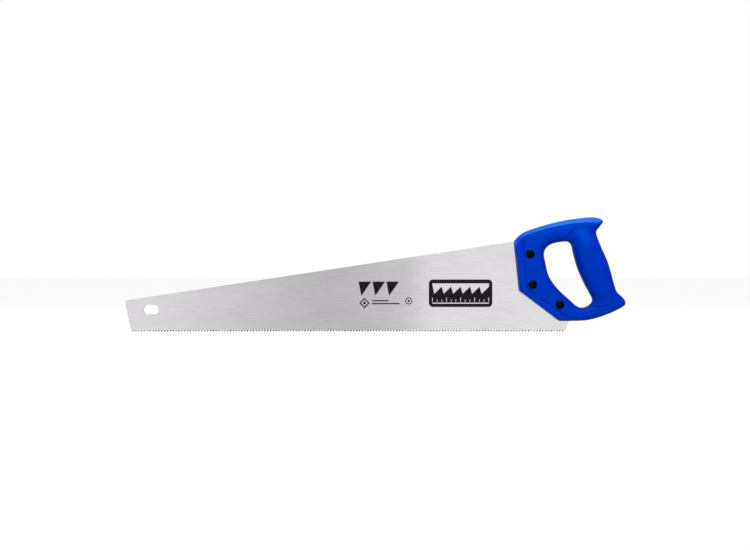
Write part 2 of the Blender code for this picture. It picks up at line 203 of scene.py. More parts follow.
toothed = tooth_points()
toe_top = (-BLADE_LENGTH - TOE_LEAN, TOE_HEIGHT)
toe_foot = (-BLADE_LENGTH - TOE_LEAN * TOOTH_DEPTH / TOE_HEIGHT, TOOTH_DEPTH)
blade_outline = [toe_foot, *toothed, (TOOTH_DEPTH * HEEL_SLOPE, TOOTH_DEPTH), *TANG,
                 (TANG_TOP_X, back_height(TANG_TOP_X)),
                 *rounded_corner(toe_top, (TANG_TOP_X, back_height(TANG_TOP_X)), toe_foot, TOE_CORNER)]
bm = plate(blade_outline, -BLADE_HALF, BLADE_HALF)
grind_teeth(bm, toothed)
above_teeth = TIPS_Z + 1.1 * TOOTH_DEPTH * MM
rims = [edge for edge in bm.edges
        if abs(edge.verts[0].co.y - edge.verts[1].co.y) < 1e-7
        and max(vert.co.z for vert in edge.verts) > above_teeth]
bmesh.ops.bevel(bm, geom=rims, offset=EDGE_ROUND * MM, segments=2, profile=0.5, affect="EDGES", material=-1)
for x in np.linspace(-BLADE_LENGTH + 40, -60, 10):
    bmesh.ops.bisect_plane(bm, geom=bm.verts[:] + bm.edges[:] + bm.faces[:], dist=1e-7,
                           plane_co=place(x, 0, 0), plane_no=(1, 0, 0))
bmesh.ops.bisect_plane(bm, geom=bm.verts[:] + bm.edges[:] + bm.faces[:], dist=1e-7,
                       plane_co=place(0, 0, 1.8 * TOOTH_DEPTH), plane_no=(0, 0, 1))
blade = finished("saw_blade", bm, sharp=20)


def slot_outline(grow):
    """The hanging slot's round-ended outline, let out all round."""
    x, z = SLOT_CENTRE
    half = SLOT_STRAIGHT / 2
    radius = SLOT_RADIUS + grow
    return [*arc((x + half, z), radius, -90, 90, 24), *arc((x - half, z), radius, 90, 270, 24)]


def slot_tool():
    """The punch for the hanging slot, wider where it leaves each face, for the broken edge."""
    bm = bmesh.new()
    past_face = 2.0 - BLADE_HALF
    levels = ((-BLADE_HALF - past_face, SLOT_CHAMFER + past_face), (-BLADE_HALF + SLOT_CHAMFER, 0.0),
              (BLADE_HALF - SLOT_CHAMFER, 0.0), (BLADE_HALF + past_face, SLOT_CHAMFER + past_face))
    loops = []
    for y, grow in levels:
        verts = [bm.verts.new(place(x, y, z)) for x, z in slot_outline(grow)]
        loops.append([bm.edges.new((a, b)) for a, b in zip(verts, verts[1:] + verts[:1])])
    for one, two in zip(loops[:-1], loops[1:]):
        bmesh.ops.bridge_loops(bm, edges=one + two)
    for loop in (loops[0], loops[-1]):
        bmesh.ops.contextual_create(bm, geom=loop)
    return finished("slot_tool", bm)


carve(blade, slot_tool(), sharp=20)


# Node helpers for the materials
def new_material(name, **values):
    """A material with one Principled shader, whose plain values are set on its own sockets."""
    made = bpy.data.materials.new(name)
    made.use_nodes = True
    shader = made.node_tree.nodes["Principled BSDF"]
    for socket, value in values.items():
        shader.inputs[socket.replace("_", " ")].default_value = value
    return made, made.node_tree, shader


def add(tree, kind, inputs=None, **settings):
    """A node with its settings and input values; an input that is a socket gets a link."""
    node = tree.nodes.new("ShaderNode" + kind)
    for name, value in settings.items():
        setattr(node, name, value)
    for name, value in (inputs or {}).items():
        if isinstance(value, bpy.types.NodeSocket):
            tree.links.new(value, node.inputs[name])
        else:
            node.inputs[name].default_value = value
    return node


def stretched(tree, scale, turn=(0.0, 0.0, 0.0)):
    """Object coordinates turned and stretched, so that a pattern can run along the work."""
    where = add(tree, "TexCoord").outputs["Object"]
    return add(tree, "Mapping", {"Vector": where, "Rotation": turn, "Scale": scale}).outputs["Vector"]


def remap(tree, value, low, high, to_low=0.0, to_high=1.0):
    return add(tree, "MapRange", {"Value": value, "From Min": low, "From Max": high,
                                  "To Min": to_low, "To Max": to_high}).outputs["Result"]


def mixed(tree, factor, one, two):
    """A colour between two, by a factor."""
    node = add(tree, "Mix", data_type="RGBA")
    for socket, value in (("Factor_Float", factor), ("A_Color", one), ("B_Color", two)):
        target = next(item for item in node.inputs if item.identifier == socket)
        if isinstance(value, bpy.types.NodeSocket):
            tree.links.new(value, target)
        else:
            target.default_value = value
    return next(item for item in node.outputs if item.identifier == "Result_Color")


def maths(tree, operation, one, two=0.0):
    node = add(tree, "Math", operation=operation)
    for socket, value in zip(node.inputs, (one, two)):
        if isinstance(value, bpy.types.NodeSocket):
            tree.links.new(value, socket)
        else:
            socket.default_value = value
    return node.outputs[0]


def edge_mask_group():
    """Mask of the sharp edges: where the surface turns sharply, broken up by a patchy noise. It marks rubbed
    wear, and on the handle also a painted highlight along the top ridge.
    """
    group = bpy.data.node_groups.new("sharp edges", "ShaderNodeTree")
    for name, value in (("Start", 0.52), ("Full", 0.6), ("Patch Scale", 300.0)):
        group.interface.new_socket(name, in_out="INPUT", socket_type="NodeSocketFloat").default_value = value
    group.interface.new_socket("Mask", in_out="OUTPUT", socket_type="NodeSocketFloat")
    entry = group.nodes.new("NodeGroupInput")
    leave = group.nodes.new("NodeGroupOutput")
    turn = add(group, "NewGeometry").outputs["Pointiness"]
    edge = remap(group, turn, entry.outputs["Start"], entry.outputs["Full"])
    where = add(group, "TexCoord").outputs["Object"]
    patch = add(group, "TexNoise", {"Vector": where, "Scale": entry.outputs["Patch Scale"], "Detail": 4.0})
    broken = remap(group, patch.outputs["Fac"], 0.4, 0.62)
    group.links.new(maths(group, "MULTIPLY", edge, broken), leave.inputs["Mask"])
    return group


def use_group(tree, group, **values):
    node = tree.nodes.new("ShaderNodeGroup")
    node.node_tree = group
    for name, value in values.items():
        node.inputs[name.replace("_", " ")].default_value = value
    return node.outputs


sharp_edges = edge_mask_group()


def scratch_group():
    """Mask of fine scratches: thin contour lines of a stretched noise, kept in patches."""
    group = bpy.data.node_groups.new("fine scratches", "ShaderNodeTree")
    for name, value in (("Along", 20.0), ("Across", 400.0), ("Turn", 0.0)):
        group.interface.new_socket(name, in_out="INPUT", socket_type="NodeSocketFloat").default_value = value
    group.interface.new_socket("Mask", in_out="OUTPUT", socket_type="NodeSocketFloat")
    entry = group.nodes.new("NodeGroupInput")
    leave = group.nodes.new("NodeGroupOutput")
    where = add(group, "TexCoord").outputs["Object"]
    turn = add(group, "CombineXYZ", {"Y": entry.outputs["Turn"]}).outputs["Vector"]
    size = add(group, "CombineXYZ", {"X": entry.outputs["Along"], "Y": 60.0, "Z": entry.outputs["Across"]})
    laid = add(group, "Mapping", {"Vector": where, "Rotation": turn, "Scale": size.outputs["Vector"]})
    lines = add(group, "TexNoise", {"Vector": laid.outputs["Vector"], "Scale": 1.0, "Detail": 2.0})
    near = maths(group, "ABSOLUTE", maths(group, "SUBTRACT", lines.outputs["Fac"], 0.5))
    thin = remap(group, near, 0.0, 0.006, 1.0, 0.0)
    patch = add(group, "TexNoise", {"Vector": where, "Scale": 45.0, "Detail": 2.0})
    kept = remap(group, patch.outputs["Fac"], 0.52, 0.62)
    group.links.new(maths(group, "MULTIPLY", thin, kept), leave.inputs["Mask"])
    return group


fine_scratches = scratch_group()

STEEL_LIGHT = (0.72, 0.71, 0.725, 1)
STEEL_DARK = (0.63, 0.61, 0.63, 1)
HARDENED = (0.035, 0.036, 0.045, 1)
TEMPER_BLUE = (0.16, 0.17, 0.22, 1)
TEMPER_STRAW = (0.45, 0.40, 0.33, 1)
SCRATCH_BRIGHT = (0.85, 0.85, 0.86, 1)
BRUSHING_SLANT = math.radians(4)
# height above the tips at which each tint starts and is full
STRAW_BAND = (2.5, 2.2)
BLUE_BAND = (2.2, 1.95)
HARD_BAND = (1.95, 1.7)


def blade_steel():
    made, tree, shader = new_material("brushed spring steel", Metallic=1.0, Roughness=0.1,
                                       Anisotropic=0.9, Anisotropic_Rotation=0.25)
    grain = add(tree, "TexNoise", {"Vector": stretched(tree, (70, 300, 1500), (0, BRUSHING_SLANT, 0)),
                                   "Scale": 1.0, "Detail": 6.0, "Roughness": 0.65}).outputs["Fac"]
    coarse = add(tree, "TexNoise", {"Vector": stretched(tree, (28, 120, 420), (0, BRUSHING_SLANT, 0)),
                                    "Scale": 1.0, "Detail": 4.0}).outputs["Fac"]
    cloud = add(tree, "TexNoise", {"Vector": stretched(tree, (9, 9, 22)),
                                   "Scale": 1.0, "Detail": 3.0}).outputs["Fac"]
    scratch = use_group(tree, fine_scratches, Along=14.0, Across=520.0, Turn=math.radians(-9))["Mask"]
    streak = maths(tree, "ADD", maths(tree, "MULTIPLY", grain, 0.6), maths(tree, "MULTIPLY", coarse, 0.4))
    tone = maths(tree, "ADD", maths(tree, "MULTIPLY", streak, 0.7), maths(tree, "MULTIPLY", cloud, 0.3))
    bare = mixed(tree, remap(tree, tone, 0.38, 0.62), STEEL_DARK, STEEL_LIGHT)
    bare = mixed(tree, maths(tree, "MULTIPLY", scratch, 0.5), bare, SCRATCH_BRIGHT)
    # heat tint: dark tips, then blue, then straw, then bare steel, with an uneven edge
    height = add(tree, "SeparateXYZ", {"Vector": add(tree, "TexCoord").outputs["Object"]}).outputs["Z"]
    waver = add(tree, "TexNoise", {"Vector": stretched(tree, (90, 90, 90)), "Scale": 1.0}).outputs["Fac"]
    level = maths(tree, "ADD", height, remap(tree, waver, 0.3, 0.7, -0.0004, 0.0004))
    tinted = bare
    for (top, bottom), tint in ((STRAW_BAND, TEMPER_STRAW), (BLUE_BAND, TEMPER_BLUE), (HARD_BAND, HARDENED)):
        tinted = mixed(tree, remap(tree, level, TIPS_Z + top * MM, TIPS_Z + bottom * MM), tinted, tint)
    tree.links.new(tinted, shader.inputs["Base Color"])
    tree.links.new(remap(tree, streak, 0.35, 0.65, 0.08, 0.13), shader.inputs["Roughness"])
    relief = maths(tree, "SUBTRACT", streak, maths(tree, "MULTIPLY", scratch, 0.5))
    bump = add(tree, "Bump", {"Strength": 0.03, "Distance": 0.0002, "Height": relief})
    tree.links.new(bump.outputs["Normal"], shader.inputs["Normal"])
    return made


blade.data.materials.append(blade_steel())
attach(blade, "root")
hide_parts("blade")

# ---------------------------------------------------------------------------------------------------------
# Marks printed on the blade
# Screen-printed black ink on the screws' side: three bold teeth, a lozenge with two rules beside it, a ring,
# and a dark panel that shows a row of teeth over a plain scale.
# ---------------------------------------------------------------------------------------------------------
INK_FACE = -BLADE_HALF - 0.004
INK_THICK = 0.03
BOLD_TEETH = (-262.0, 45.8)
BOLD_PITCH = 17.6
LOZENGE = (-254.5, 36.6)
RULES_START = -245.0
RULES = ((38.9, 21.0), (35.2, 35.0))
RULE_HEIGHT = 1.5
RING = (-198.5, 39.3)
PANEL = ((-173.0, 31.7), (-92.6, 66.5))
PANEL_CORNER = 5.2
PANEL_TEETH = 6
SCALE_LEFT = -168.8
SCALE_RIGHT = -96.8
SCALE_TICKS = 13
TICK_PITCH = 5.93
TICK_FOOT = 38.6
TICK_WIDTH = 0.8
LONG_TICK = 5.0
SHORT_TICK = 2.4


def ink_shape(bm, outline, holes=()):
    """One patch of ink, with any openings in it filled round by the triangulator."""
    edges = []
    for loop in (outline, *holes):
        verts = [bm.verts.new(place(x, INK_FACE, z)) for x, z in loop]
        edges += [bm.edges.new((a, b)) for a, b in zip(verts, verts[1:] + verts[:1])]
    bmesh.ops.triangle_fill(bm, edges=edges, use_beauty=True, use_dissolve=False)


def rounded_box(low, high, radius, steps=8):
    (x0, z0), (x1, z1) = low, high
    return [*arc((x1 - radius, z0 + radius), radius, -90, 0, steps),
            *arc((x1 - radius, z1 - radius), radius, 0, 90, steps),
            *arc((x0 + radius, z1 - radius), radius, 90, 180, steps),
            *arc((x0 + radius, z0 + radius), radius, 180, 270, steps)]


def tooth_mark(x, z, width, height):
    """A saw tooth pointing down, with its steep flank towards the toe."""
    return [(x, z + height), (x + 0.22 * width, z), (x + width, z + height)]


def diamond(centre, half_width, half_height):
    x, z = centre
    return [(x, z + half_height), (x + half_width, z), (x, z - half_height), (x - half_width, z)]


def bar(x, z, width, height):
    return [(x, z), (x + width, z), (x + width, z + height), (x, z + height)]


bm = bmesh.new()
for tooth in range(3):
    ink_shape(bm, tooth_mark(BOLD_TEETH[0] + tooth * BOLD_PITCH, BOLD_TEETH[1], 16.0, 18.0))
ink_shape(bm, diamond(LOZENGE, 6.5, 6.8), [diamond(LOZENGE, 4.4, 4.6)])
ink_shape(bm, diamond(LOZENGE, 2.1, 2.2))
for z, length in RULES:
    ink_shape(bm, bar(RULES_START, z, length, RULE_HEIGHT))
ink_shape(bm, arc(RING, 4.4, 0, 345, 23), [arc(RING, 3.3, 0, 345, 23)])
ink_shape(bm, arc(RING, 1.5, 0, 330, 11))
windows = [rounded_box((SCALE_LEFT, 35.9), (SCALE_RIGHT, 37.2), 0.6, 3)]
teeth_row = [(SCALE_LEFT, 61.6)]
panel_pitch = (SCALE_RIGHT - SCALE_LEFT) / PANEL_TEETH
for tooth in range(PANEL_TEETH):
    start = SCALE_LEFT + tooth * panel_pitch
    teeth_row += [(start + 2.6, 48.4), (start + panel_pitch, 57.4)]
teeth_row += [(SCALE_RIGHT, 61.6)]
windows.append(teeth_row)
for tick in range(SCALE_TICKS):
    height = LONG_TICK if tick % 3 == 0 else SHORT_TICK
    windows.append(bar(SCALE_LEFT + tick * TICK_PITCH, TICK_FOOT, TICK_WIDTH, height))
ink_shape(bm, rounded_box(*PANEL, PANEL_CORNER), windows)
for face in bm.faces:
    face.normal_update()
bmesh.ops.recalc_face_normals(bm, faces=bm.faces)
bmesh.ops.solidify(bm, geom=bm.faces[:], thickness=INK_THICK * MM)
print_marks = finished("blade_print", bm)


def ink():
    made, tree, shader = new_material("screen printing ink", Roughness=0.5, Specular_IOR_Level=0.1)
    where = add(tree, "TexCoord").outputs["Object"]
    density = add(tree, "TexNoise", {"Vector": where, "Scale": 260.0, "Detail": 5.0}).outputs["Fac"]
    colour = mixed(tree, remap(tree, density, 0.35, 0.7), (0.003, 0.002, 0.004, 1), (0.012, 0.009, 0.014, 1))
    tree.links.new(colour, shader.inputs["Base Color"])
    tree.links.new(remap(tree, density, 0.3, 0.7, 0.34, 0.5), shader.inputs["Roughness"])
    weave = add(tree, "TexNoise", {"Vector": stretched(tree, (30, 200, 1700)),
                                   "Scale": 1.0, "Detail": 3.0}).outputs["Fac"]
    bump = add(tree, "Bump", {"Strength": 0.1, "Distance": 0.0001, "Height": weave})
    tree.links.new(bump.outputs["Normal"], shader.inputs["Normal"])
    return made


print_marks.data.materials.append(ink())
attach(print_marks, "root")

# ---------------------------------------------------------------------------------------------------------
# Handle
# One injection moulding in blue polypropylene with a fine spark-eroded grain. Two straight front edges with
# a lower border, a band that slopes off along the top, a rim round the hand hole and a fuller grip, whose
# two ends are marked by grooves. The blade sits in a slot down its middle.
# ---------------------------------------------------------------------------------------------------------
CHEEK = 10.0
GRIP_START = 10.2
GRIP_FULL = 14.4
EDGE_BREAK = 0.8
LAND = 0.35
FRONT_RADIUS = 3.0
TOP_CORNER = (-64.9, 115.8)
FRONT_CORNER = (-58.4, 52.2)
BOTTOM_CORNER = (-7.6, 13.9)

# X, Z, width of the sloping edge, share of it before the ridge, strength of the ridge, groove inside it
BACK_OUTLINE = (
    (*TOP_CORNER, 9.0, 0.5, 0.2, 0.2),
    (-53.0, 126.0, 8.6, 0.5, 1.0, 0.6),
    (-28.0, 134.8, 8.8, 0.52, 1.0, 0.8),
    (0.0, 141.5, 8.8, 0.6, 1.0, 0.6),
    (28.0, 145.05, 8.6, 0.7, 0.9, 0.4),
    (41.0, 144.4, 7.6, 0.74, 0.9, 0.2),
    (47.4, 140.6, 5.4, 0.7, 0.4, 0.0),
    (44.2, 134.3, 4.6, 0.6, 0.0, 0.0),
    (38.9, 126.0, 8.0, 0.6, 0.0, 0.0),
    (43.6, 111.0, 12.0, 0.6, 0.0, 0.0),
    (53.6, 88.0, 16.0, 0.6, 0.0, 0.0),
    (61.4, 60.6, 14.0, 0.6, 0.0, 0.0),
    (65.0, 51.0, 10.0, 0.6, 0.0, 0.0),
    (73.2, 43.0, 6.0, 0.6, 0.0, 0.0),
    (75.77, 37.0, 5.0, 0.6, 0.0, 0.3),
    (72.4, 31.8, 4.8, 0.6, 0.0, 0.8),
    (52.5, 22.1, 4.5, 0.6, 0.0, 1.0),
    (30.0, 15.3, 3.4, 0.6, 0.0, 0.9),
    (11.0, 13.9, 3.6, 0.6, 0.0, 0.0),
    (*BOTTOM_CORNER, 4.4, 0.6, 0.0, 0.0),
)

# X, Z, width of the rim, height of the step along its outer side
HAND_HOLE = (
    (0.0, 114.5, 8.0, 0.1),
    (-11.0, 113.2, 9.0, 0.2),
    (-21.5, 109.2, 9.6, 0.5),
    (-27.1, 100.5, 6.2, 1.0),
    (-25.4, 88.0, 5.2, 1.0),
    (-20.8, 70.5, 5.2, 1.0),
    (-10.0, 55.0, 5.8, 1.0),
    (6.2, 39.8, 5.8, 1.0),
    (13.0, 33.8, 5.6, 1.0),
    (20.0, 31.0, 4.4, 1.0),
    (28.5, 33.4, 4.4, 0.8),
    (33.8, 39.5, 8.0, 0.0),
    (31.5, 47.0, 12.0, 0.0),
    (24.3, 60.1, 15.0, 0.0),
    (15.3, 80.3, 16.0, 0.0),
    (9.6, 100.0, 14.0, 0.0),
    (7.6, 109.0, 11.0, 0.0),
    (4.5, 113.4, 9.0, 0.0),
)

# Line between the low front border and the cheek, from the top edge to the underside: X, Z, step, groove
BORDER_LINE = (
    (-55.6, 134.0, 1.2, 1.0),
    (-54.5, 121.2, 1.2, 1.0),
    (-51.6, 78.0, 1.2, 1.0),
    (-50.4, 61.5, 1.2, 1.0),
    (-48.8, 55.9, 1.2, 1.0),
    (-43.8, 51.2, 1.2, 1.0),
    (-19.0, 34.3, 1.2, 1.0),
    (-5.2, 24.0, 1.2, 1.0),
    (3.9, 19.1, 1.0, 1.0),
    (17.0, 17.6, 0.3, 1.0),
    (30.0, 18.6, 0.0, 0.3),
    (40.0, 20.0, 0.0, 0.0),
)
BEAM_GROOVE = ((46.5, 26.5), (65.4, 33.1))

# Spokes from outline to hole: outline point, hole point, sideways bow, 1 in the grip, stations to the next
SPOKES = (
    (TOP_CORNER, (-26.0, 104.0), 0.0, 0, 42),
    ((-28.0, 134.8), (-17.0, 111.3), 0.0, 0, 26),
    ((0.0, 141.5), (-10.6, 113.3), 0.0, 0, 26),
    ((28.0, 145.05), (-7.2, 114.0), 1.2, 0, 18),
    ((41.0, 144.4), (-5.3, 114.2), 5.2, 0, 14),
    ((47.4, 140.6), (-4.1, 114.3), 8.0, 0, 12),
    ((44.2, 134.3), (-3.0, 114.4), 9.6, 1, 24),
    ((40.0, 121.0), (7.2, 110.0), 2.8, 1, 20),
    ((46.0, 105.5), (10.6, 96.5), 0.0, 1, 24),
    ((56.5, 80.0), (17.5, 75.0), 0.0, 1, 24),
    ((65.0, 51.0), (31.0, 48.2), 0.0, 1, 20),
    ((73.2, 43.0), (28.6, 33.5), -4.8, 0, 14),
    ((75.77, 37.0), (25.4, 32.0), -1.8, 0, 14),
    ((66.0, 28.4), (23.5, 31.5), 0.0, 0, 18),
    ((45.0, 19.4), (19.5, 31.0), 0.0, 0, 20),
    ((22.0, 14.3), (15.0, 32.5), 0.0, 0, 30),
    (BOTTOM_CORNER, (5.0, 40.9), 0.0, 0, 46),
    (FRONT_CORNER, (-20.8, 70.5), 0.0, 0, 50),
)
EDGE_ROWS = (0.0, 0.03, 0.1, 0.22, 0.4, 0.6, 0.8)
NEAR_ROWS = (*EDGE_ROWS, *np.arange(1.15, 12.6, 0.35))
FAR_ROWS = (*EDGE_ROWS, *np.arange(1.15, 8.6, 0.35))
PLATEAU_ROWS = 14
NEAR_SHARE = 0.52
FAR_SHARE = 0.38
SAMPLES = 14
SEAM_HALF = 0.9
SEAM_DEPTH = 1.0
SEAM_STATIONS = (-1.7, -1.2, -0.85, -0.6, -0.4, -0.2, 0.0, 0.2, 0.4, 0.6, 0.85, 1.2, 1.7)


def smooth_run(points, closed=False):
    """A smooth curve through the points that carries all their values along."""
    points = np.array(points, float)
    if closed:
        ring = np.vstack([points[-1], points, points[0], points[1]])
        spans = len(points)
    else:
        ring = np.vstack([2 * points[0] - points[1], points, 2 * points[-1] - points[-2]])
        spans = len(points) - 1
    rows = []
    for span in range(spans):
        before, start, end, after = ring[span:span + 4]
        for t in np.arange(SAMPLES) / SAMPLES:
            rows.append(0.5 * (2 * start + (end - before) * t
                               + (2 * before - 5 * start + 4 * end - after) * t ** 2
                               + (3 * start - before - 3 * end + after) * t ** 3))
    rows.append(points[0] if closed else points[-1])
    return np.array(rows)


def nearest(points, line):
    """Signed distance from each point to a polyline, left side positive, and the values carried there."""
    best = np.full(len(points), np.inf)
    side = np.ones(len(points))
    carried = np.zeros((len(points), line.shape[1] - 2))
    for start, end in zip(line[:-1], line[1:]):
        step = end[:2] - start[:2]
        from_start = points - start[:2]
        t = np.clip(from_start @ step / max(step @ step, 1e-12), 0, 1)
        away = np.linalg.norm(from_start - t[:, None] * step, axis=1)
        closer = away < best
        best = np.where(closer, away, best)
        left = step[0] * from_start[:, 1] - step[1] * from_start[:, 0] >= 0
        side = np.where(closer, np.where(left, 1, -1), side)
        carried[closer] = (start[2:] + t[:, None] * (end[2:] - start[2:]))[closer]
    return best * side, carried


front_line = np.array([BOTTOM_CORNER,
                       *rounded_corner(FRONT_CORNER, BOTTOM_CORNER, TOP_CORNER, FRONT_RADIUS, 8), TOP_CORNER])
front_line = np.hstack([front_line, np.zeros((len(front_line), 1))])
back_line = smooth_run(BACK_OUTLINE)
hole_line = smooth_run(HAND_HOLE, closed=True)
border_line = smooth_run(BORDER_LINE)
outer_line = np.vstack([back_line[:, :2], front_line[1:, :2]])


def run_lengths(line):
    return np.concatenate([[0.0], np.cumsum(np.linalg.norm(np.diff(line[:, :2], axis=0), axis=1))])


def on_line(line, lengths, at):
    at = np.mod(at, lengths[-1])
    return np.stack([np.interp(at, lengths, line[:, axis]) for axis in (0, 1)], axis=1)


def stations():
    """Both ends, bow, order and place of every station, with extra ones close together at the two seams."""
    outer_lengths, hole_lengths = run_lengths(outer_line), run_lengths(hole_line)

    def length_at(line, lengths, point):
        return lengths[np.argmin(np.linalg.norm(line[:, :2] - np.array(point), axis=1))]

    keys = [(length_at(outer_line, outer_lengths, outer), length_at(hole_line, hole_lengths, hole), *rest)
            for outer, hole, *rest in SPOKES]
    rows = []
    for index, (outer_at, hole_at, bow, grip, count) in enumerate(keys):
        next_outer, next_hole, next_bow, _, _ = keys[(index + 1) % len(keys)]
        outer_step = np.mod(next_outer - outer_at, outer_lengths[-1])
        hole_step = np.mod(hole_at - next_hole, hole_lengths[-1])
        shares = np.arange(count) / count
        # stations crowd at a seam, measured along the outline
        starts_seam = keys[index - 1][3] != grip
        ends_seam = keys[(index + 1) % len(keys)][3] != grip
        near = np.array(SEAM_STATIONS)
        if starts_seam:
            close = near[near >= 0] / outer_step
            shares = np.concatenate([close, shares[shares > close[-1] * 1.3]])
        if ends_seam:
            close = 1 + near[near < 0] / outer_step
            shares = np.concatenate([shares[shares < close[0] - 0.3 * (1 - close[0])], close])
        for share in shares:
            rows.append((outer_at + outer_step * share, hole_at - hole_step * share,
                         bow + (next_bow - bow) * share, index + share))
    rows = np.array(rows)
    return (on_line(outer_line, outer_lengths, rows[:, 0]), on_line(hole_line, hole_lengths, rows[:, 1]),
            rows[:, 2], rows[:, 3], rows[:, 0])


def rounding(share, power):
    """A rounded slope from 0 at the edge to 1."""
    return (1 - (1 - np.clip(share, 0, 1)) ** power) ** (1 / power)


def dent(away, width):
    return np.exp(-(away / width) ** 2)


def smooth_step(value):
    value = np.clip(value, 0, 1)
    return 3 * value ** 2 - 2 * value ** 3


# Relief of the cheek: how round each slope is, and the heights and widths of its ridges, steps and grooves
PLAIN_POWER = 1.75
FACET_POWER = 1.3
RIM_POWER = 1.5
RIDGE_DROP = 1.1
RIDGE_RISE = 0.7
BEAD_RISE = 0.45
RIM_STEP = 1.1
RIM_BEAD = 0.35
STEP_WIDTH = 0.9
LINE_WIDTH = 0.7
BORDER_GROOVE_DEPTH = 0.45
EDGE_GROOVE_DEPTH = 0.72
BEAM_GROOVE_DEPTH = 0.81


def cheek_height(points):
    """Half thickness everywhere but in the grip, from the distances to the edges and the feature lines."""
    from_front = np.abs(nearest(points, front_line)[0])
    from_back, back = nearest(points, back_line)
    from_hole, hole = nearest(points, hole_line)
    over_border, border = nearest(points, border_line)
    from_groove, _ = nearest(points, np.array(BEAM_GROOVE))
    from_back, from_hole = np.abs(from_back), np.abs(from_hole)
    width, place_of_fold, ridge, groove = back.T
    fold = place_of_fold * width
    plain = LAND + (CHEEK - LAND) * rounding(from_back / width, PLAIN_POWER)
    facets = LAND + (CHEEK - RIDGE_DROP - LAND) * rounding(from_back / fold, FACET_POWER)
    facets += RIDGE_DROP * np.clip((from_back - fold) / (width - fold), 0, 1)
    band = plain + ridge * (facets - plain + RIDGE_RISE * dent(from_back - fold - 0.4, LINE_WIDTH))
    band += BEAD_RISE * ridge * dent(from_back - width + 0.9, 0.6)
    band -= EDGE_GROOVE_DEPTH * groove * dent(from_back - width, LINE_WIDTH)
    width, rise = hole.T
    rim = LAND + (CHEEK - RIM_STEP * rise - LAND) * rounding(from_hole / width, RIM_POWER)
    past_rim = from_hole - width
    step = RIM_STEP * smooth_step(past_rim / STEP_WIDTH)
    rim += rise * (step + RIM_BEAD * dent(past_rim - 1.1, LINE_WIDTH))
    drop, groove = border.T
    cheek = CHEEK + drop * (smooth_step(over_border / STEP_WIDTH + 0.5) - 1)
    edge = cheek - EDGE_BREAK * (1 - rounding(from_front / EDGE_BREAK, 2))
    height = np.minimum(np.minimum(band, rim), edge)
    height -= BORDER_GROOVE_DEPTH * groove * dent(over_border + 0.5, 0.4) * smooth_step(height - 6)
    height -= BEAM_GROOVE_DEPTH * dent(from_groove, LINE_WIDTH)
    return height


def row_shares(outer, hole):
    """Where the rows cross each station between outline and hole, close together near both edges."""
    length = np.linalg.norm(hole - outer, axis=1)[:, None]
    near = np.minimum(1, NEAR_SHARE * length / NEAR_ROWS[-1]) * np.array(NEAR_ROWS)
    far = length - np.minimum(1, FAR_SHARE * length / FAR_ROWS[-1]) * np.array(FAR_ROWS)[::-1]
    between = np.linspace(0, 1, PLATEAU_ROWS + 2)[1:-1]
    plateau = near[:, -1:] + (far[:, :1] - near[:, -1:]) * between
    return np.hstack([near, plateau, far]) / length


def handle_rows():
    """The points and half thicknesses of each row of the handle's side, from outline to hole."""
    outer, hole, bow, order, along = stations()
    shares = row_shares(outer, hole)
    count = shares.shape[1]
    seam_in, seam_out = (index for index, spoke in enumerate(SPOKES) if SPOKES[index - 1][3] != spoke[3])
    # in the grip the rows spread out evenly round the swelling
    deep = np.clip(np.minimum(order - seam_in, seam_out - order) * 2.2, 0, 1)[:, None]
    deep = deep * deep * (3 - 2 * deep)
    even = (1 - np.cos(math.pi * np.linspace(0, 1, count))) / 2
    shares = np.maximum.accumulate(shares * (1 - deep) + even * deep, axis=1)
    shares = np.clip(shares, 0, 1)
    toward = hole - outer
    length = np.linalg.norm(toward, axis=1)
    across = np.stack([toward[:, 1], -toward[:, 0]], axis=1) / length[:, None]
    seams = [along[np.argmin(np.abs(order - seam))] for seam in (seam_in, seam_out)]
    total = run_lengths(outer_line)[-1]
    offset = [np.mod(along - seam + total / 2, total) - total / 2 for seam in seams]
    inside = np.clip(0.5 + np.minimum(offset[0], -offset[1]) / 0.4, 0, 1)
    swell = np.sin(math.pi / 2 * np.clip(np.minimum(order - seam_in, seam_out - order) / 1.7, 0, 1)) ** 2
    full = GRIP_START + (GRIP_FULL - GRIP_START) * swell
    rows = []
    for share in shares.T:
        bulge = bow * np.sin(math.pi * share ** 1.6)
        points = outer + toward * share[:, None] + across * bulge[:, None]
        middle = np.abs(2 * share - 1)
        grip = LAND + (full - LAND) * (1 - middle ** 2.2) ** (1 / 2.2)
        height = cheek_height(points)
        height = height + (grip - height) * inside
        # the groove at each seam, shallower where the moulding thins out
        room = np.clip(height / 4, 0, 1)
        for distance in offset:
            height = height - SEAM_DEPTH * room * dent(distance, SEAM_HALF / 1.6)
        rows.append((points, height))
    rows.append((hole, np.zeros(len(hole))))
    return outer, rows


def handle_skin():
    """One side pulled row by row from the outline to the hole, then mirrored across the blade."""
    outer, rows = handle_rows()
    count = len(outer)
    bm = bmesh.new()
    number = bm.verts.layers.int.new("station")
    ring = [bm.verts.new(place(x, 0, z)) for x, z in outer]
    for index, vert in enumerate(ring):
        vert[number] = index
    edges = [bm.edges.new((ring[index], ring[(index + 1) % count])) for index in range(count)]
    for points, height in rows:
        pulled = bmesh.ops.extrude_edge_only(bm, edges=edges)["geom"]
        fresh = {item for item in pulled if isinstance(item, bmesh.types.BMVert)}
        edges = [item for item in pulled
                 if isinstance(item, bmesh.types.BMEdge) and fresh.issuperset(item.verts)]
        for vert in fresh:
            index = vert[number]
            vert.co = place(points[index][0], -height[index], points[index][1])
    bmesh.ops.mirror(bm, geom=bm.verts[:] + bm.edges[:] + bm.faces[:], axis="Y", merge_dist=1e-7)
    bmesh.ops.remove_doubles(bm, verts=bm.verts, dist=1e-7)
    return bm


handle = finished("handle_moulding", handle_skin(), sharp=35)

